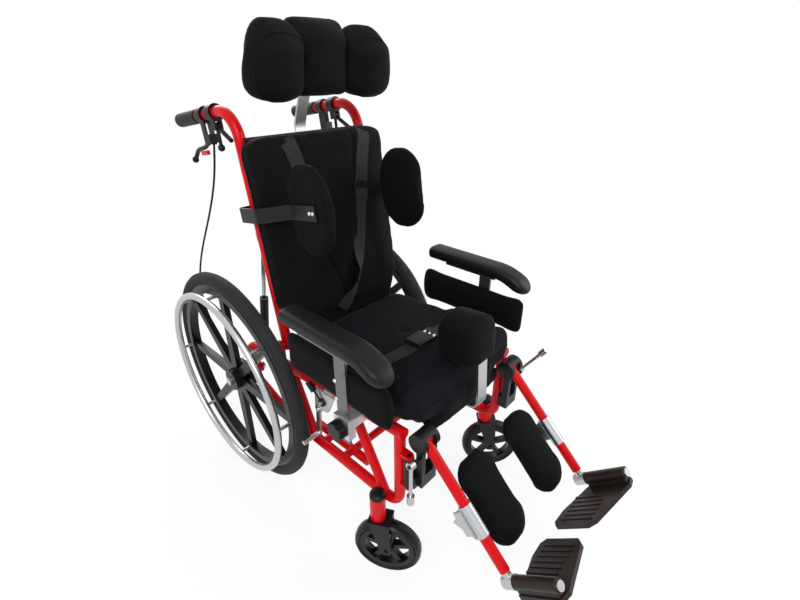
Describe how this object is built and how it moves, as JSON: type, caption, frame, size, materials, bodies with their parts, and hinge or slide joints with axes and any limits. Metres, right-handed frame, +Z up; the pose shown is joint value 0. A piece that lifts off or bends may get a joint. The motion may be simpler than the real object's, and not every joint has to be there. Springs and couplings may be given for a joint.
{
  "type": "reclining wheelchair",
  "caption": "Reclining wheelchair with headrest, lateral supports, pommel, padded armrests, elevating legrests, handrims and drum brakes.",
  "frame": {"origin": "on the floor, at the middle of the overall width and length", "axes": "+Z up, -Y the way the chair faces, +X to the seated person's left"},
  "size_m": [0.59, 1.2337, 1.1599],
  "materials": {
    "red_paint": "gloss powder coat",
    "black_metal": "satin powder coat",
    "silver_metal": "brushed",
    "black_board": "matt",
    "black_cover": "matt knitted cover",
    "black_vinyl": "satin moulded",
    "black_plastic": "satin moulded",
    "brown_plastic": "matt moulded",
    "tyre_rubber": "matt",
    "grip_rubber": "matt",
    "grey_webbing": "woven",
    "cable_jacket": "satin"
  },
  "bodies": {
    "base": {"side_frame_right": "red_paint", "side_frame_left": "red_paint", "cross_tubes": "red_paint", "seat_pan": "black_board", "seat_cushion": "black_cover", "rear_axles": "silver_metal", "frame_brackets": "black_metal", "lap_belt": "grey_webbing"},
    "backrest": {"back_canes": "red_paint", "back_board": "black_board", "back_cushion": "black_cover", "handle_grips": "grip_rubber", "lever_clamps": "black_plastic", "harness_straps": "grey_webbing", "brake_cables": "cable_jacket"},
    "strut_barrels": {"strut_cylinders": "black_metal"},
    "strut_pistons": {"strut_rods": "silver_metal"},
    "headrest_stem": {"headrest_stem": "silver_metal"},
    "headrest": {"headrest": "black_cover"},
    "pommel": {"pommel": "black_cover"},
    "lateral_right": {"lateral_support_right": "black_cover"},
    "armrest_right": {"armrest_post_right": "silver_metal", "armrest_pad_right": "black_vinyl", "side_panel_right": "black_cover"},
    "armrest_knob_right": {"armrest_knob_right": "black_plastic"},
    "rear_wheel_right": {"rear_wheel_right": "black_plastic", "rear_tyre_right": "tyre_rubber", "handrim_right": "silver_metal"},
    "caster_fork_right": {"caster_fork_right": "black_metal"},
    "caster_wheel_right": {"caster_wheel_right": "black_plastic"},
    "hanger_right": {"hanger_right": "black_metal"},
    "leg_right": {"leg_tube_right": "red_paint", "calf_pad_right": "black_cover"},
    "leg_extension_right": {"leg_extension_right": "silver_metal"},
    "footplate_right": {"footplate_right": "brown_plastic"},
    "leg_release_lever_right": {"leg_release_lever_right": "silver_metal"},
    "wheel_lock_lever_right": {"wheel_lock_lever_right": "black_plastic"},
    "wheel_lock_shoe_right": {"wheel_lock_shoe_right": "silver_metal"},
    "brake_lever_right": {"brake_lever_right": "black_plastic"},
    "recline_lever_right": {"recline_lever_right": "black_plastic"},
    "lateral_left": {"lateral_support_left": "black_cover"},
    "armrest_left": {"armrest_post_left": "silver_metal", "armrest_pad_left": "black_vinyl", "side_panel_left": "black_cover"},
    "armrest_knob_left": {"armrest_knob_left": "black_plastic"},
    "rear_wheel_left": {"rear_wheel_left": "black_plastic", "rear_tyre_left": "tyre_rubber", "handrim_left": "silver_metal"},
    "caster_fork_left": {"caster_fork_left": "black_metal"},
    "caster_wheel_left": {"caster_wheel_left": "black_plastic"},
    "hanger_left": {"hanger_left": "black_metal"},
    "leg_left": {"leg_tube_left": "red_paint", "calf_pad_left": "black_cover"},
    "leg_extension_left": {"leg_extension_left": "silver_metal"},
    "footplate_left": {"footplate_left": "brown_plastic"},
    "leg_release_lever_left": {"leg_release_lever_left": "silver_metal"},
    "wheel_lock_lever_left": {"wheel_lock_lever_left": "black_plastic"},
    "wheel_lock_shoe_left": {"wheel_lock_shoe_left": "silver_metal"},
    "brake_lever_left": {"brake_lever_left": "black_plastic"},
    "recline_lever_left": {"recline_lever_left": "black_plastic"}
  },
  "joints": [
    {"name": "recline", "type": "hinge", "parent": "base", "child": "backrest", "pos_m": [0, 0.1518, 0.455], "axis": [-1, 0, 0], "range_deg": [0, 45], "deforming": ["brake_cables"]},
    {"name": "strut_swing", "type": "hinge", "parent": "base", "child": "strut_barrels", "pos_m": [0, 0.3038, 0.38], "axis": [-1, 0, 0], "range_deg": [0, 34.47]},
    {"name": "strut_extend", "type": "slide", "parent": "strut_barrels", "child": "strut_pistons", "axis": [0, -0.2124, 0.9772], "range_m": [-0.11958, 0]},
    {"name": "headrest_height", "type": "slide", "parent": "backrest", "child": "headrest_stem", "axis": [0, 0.1564, 0.9877], "range_m": [-0.03, 0.07]},
    {"name": "headrest_tilt", "type": "hinge", "parent": "headrest_stem", "child": "headrest", "pos_m": [0, 0.20085, 1.05876], "axis": [1, 0, 0], "range_deg": [-20, 15]},
    {"name": "rear_wheel_spin_right", "type": "hinge", "parent": "base", "child": "rear_wheel_right", "pos_m": [-0.24, 0.3118, 0.305], "axis": [1, 0, 0], "continuous": true},
    {"name": "caster_swivel_right", "type": "hinge", "parent": "base", "child": "caster_fork_right", "pos_m": [-0.216, -0.2112, 0.16], "axis": [0, 0, 1], "continuous": true},
    {"name": "caster_spin_right", "type": "hinge", "parent": "caster_fork_right", "child": "caster_wheel_right", "pos_m": [-0.20533, -0.23044, 0.08], "axis": [0.8746, 0.4848, 0], "continuous": true},
    {"name": "lateral_width_right", "type": "slide", "parent": "backrest", "child": "lateral_right", "axis": [-1, 0, 0], "range_m": [-0.012, 0.03]},
    {"name": "armrest_height_right", "type": "slide", "parent": "base", "child": "armrest_right", "axis": [0, 0, 1], "range_m": [0, 0.05]},
    {"name": "armrest_knob_right", "type": "hinge", "parent": "base", "child": "armrest_knob_right", "pos_m": [-0.248, -0.1522, 0.427], "axis": [1, 0, 0], "continuous": true},
    {"name": "legrest_swing_right", "type": "hinge", "parent": "base", "child": "hanger_right", "pos_m": [-0.19, -0.2792, 0.385], "axis": [0, 0, -1], "range_deg": [0, 80]},
    {"name": "legrest_elevate_right", "type": "hinge", "parent": "hanger_right", "child": "leg_right", "pos_m": [-0.162, -0.2942, 0.424], "axis": [-1, 0, 0], "range_deg": [-25, 30]},
    {"name": "leg_length_right", "type": "slide", "parent": "leg_right", "child": "leg_extension_right", "axis": [0, -0.7193, -0.6947], "range_m": [-0.008, 0.045]},
    {"name": "footplate_flip_right", "type": "hinge", "parent": "leg_extension_right", "child": "footplate_right", "pos_m": [-0.162, -0.51576, 0.21005], "axis": [0, -0.6947, 0.7193], "range_deg": [0, 22]},
    {"name": "leg_release_right", "type": "hinge", "parent": "hanger_right", "child": "leg_release_lever_right", "pos_m": [-0.208, -0.3002, 0.392], "axis": [-1, 0, 0], "range_deg": [0, 22], "stiffness_Nm_per_rad": 0.6},
    {"name": "wheel_lock_right", "type": "hinge", "parent": "base", "child": "wheel_lock_lever_right", "pos_m": [-0.215, -0.0332, 0.395], "axis": [1, 0, 0], "range_deg": [0, 52]},
    {"name": "wheel_lock_shoe_right", "type": "hinge", "parent": "base", "child": "wheel_lock_shoe_right", "pos_m": [-0.215, -0.0182, 0.368], "axis": [1, 0, 0], "range_deg": [0, 8.41]},
    {"name": "brake_lever_right", "type": "hinge", "parent": "backrest", "child": "brake_lever_right", "pos_m": [-0.17, 0.36507, 0.91936], "axis": [1, 0, 0], "range_deg": [0, 15], "stiffness_Nm_per_rad": 1.5},
    {"name": "recline_lever_right", "type": "hinge", "parent": "backrest", "child": "recline_lever_right", "pos_m": [-0.17, 0.32006, 0.95483], "axis": [1, 0, 0], "range_deg": [0, 15], "stiffness_Nm_per_rad": 0.8},
    {"name": "rear_wheel_spin_left", "type": "hinge", "parent": "base", "child": "rear_wheel_left", "pos_m": [0.24, 0.3118, 0.305], "axis": [1, 0, 0], "continuous": true},
    {"name": "caster_swivel_left", "type": "hinge", "parent": "base", "child": "caster_fork_left", "pos_m": [0.216, -0.2112, 0.16], "axis": [0, 0, 1], "continuous": true},
    {"name": "caster_spin_left", "type": "hinge", "parent": "caster_fork_left", "child": "caster_wheel_left", "pos_m": [0.23043, -0.2278, 0.08], "axis": [0.7547, 0.6561, 0], "continuous": true},
    {"name": "lateral_width_left", "type": "slide", "parent": "backrest", "child": "lateral_left", "axis": [1, 0, 0], "range_m": [-0.012, 0.03]},
    {"name": "armrest_height_left", "type": "slide", "parent": "base", "child": "armrest_left", "axis": [0, 0, 1], "range_m": [0, 0.05]},
    {"name": "armrest_knob_left", "type": "hinge", "parent": "base", "child": "armrest_knob_left", "pos_m": [0.248, -0.1522, 0.427], "axis": [1, 0, 0], "continuous": true},
    {"name": "legrest_swing_left", "type": "hinge", "parent": "base", "child": "hanger_left", "pos_m": [0.19, -0.2792, 0.385], "axis": [0, 0, 1], "range_deg": [0, 80]},
    {"name": "legrest_elevate_left", "type": "hinge", "parent": "hanger_left", "child": "leg_left", "pos_m": [0.162, -0.2942, 0.424], "axis": [-1, 0, 0], "range_deg": [-25, 30]},
    {"name": "leg_length_left", "type": "slide", "parent": "leg_left", "child": "leg_extension_left", "axis": [0, -0.7193, -0.6947], "range_m": [-0.008, 0.045]},
    {"name": "footplate_flip_left", "type": "hinge", "parent": "leg_extension_left", "child": "footplate_left", "pos_m": [0.162, -0.51576, 0.21005], "axis": [0, 0.6947, -0.7193], "range_deg": [0, 22]},
    {"name": "leg_release_left", "type": "hinge", "parent": "hanger_left", "child": "leg_release_lever_left", "pos_m": [0.208, -0.3002, 0.392], "axis": [-1, 0, 0], "range_deg": [0, 22], "stiffness_Nm_per_rad": 0.6},
    {"name": "wheel_lock_left", "type": "hinge", "parent": "base", "child": "wheel_lock_lever_left", "pos_m": [0.215, -0.0332, 0.395], "axis": [1, 0, 0], "range_deg": [0, 52]},
    {"name": "wheel_lock_shoe_left", "type": "hinge", "parent": "base", "child": "wheel_lock_shoe_left", "pos_m": [0.215, -0.0182, 0.368], "axis": [1, 0, 0], "range_deg": [0, 8.41]},
    {"name": "brake_lever_left", "type": "hinge", "parent": "backrest", "child": "brake_lever_left", "pos_m": [0.17, 0.36507, 0.91936], "axis": [1, 0, 0], "range_deg": [0, 15], "stiffness_Nm_per_rad": 1.5},
    {"name": "recline_lever_left", "type": "hinge", "parent": "backrest", "child": "recline_lever_left", "pos_m": [0.17, 0.32006, 0.95483], "axis": [1, 0, 0], "range_deg": [0, 15], "stiffness_Nm_per_rad": 0.8},
    {"name": "pommel_slide", "type": "slide", "parent": "base", "child": "pommel", "axis": [0, -0.9969, 0.0785], "range_m": [0, 0.05]}
  ],
  "couplings": [
    {"joint": "strut_swing", "follows": "recline", "ratio": 0.766},
    {"joint": "strut_extend", "follows": "recline", "m_per_rad": -0.152},
    {"joint": "wheel_lock_shoe_right", "follows": "wheel_lock_right", "ratio": 0.16173},
    {"joint": "wheel_lock_shoe_left", "follows": "wheel_lock_left", "ratio": 0.16173}
  ]
}
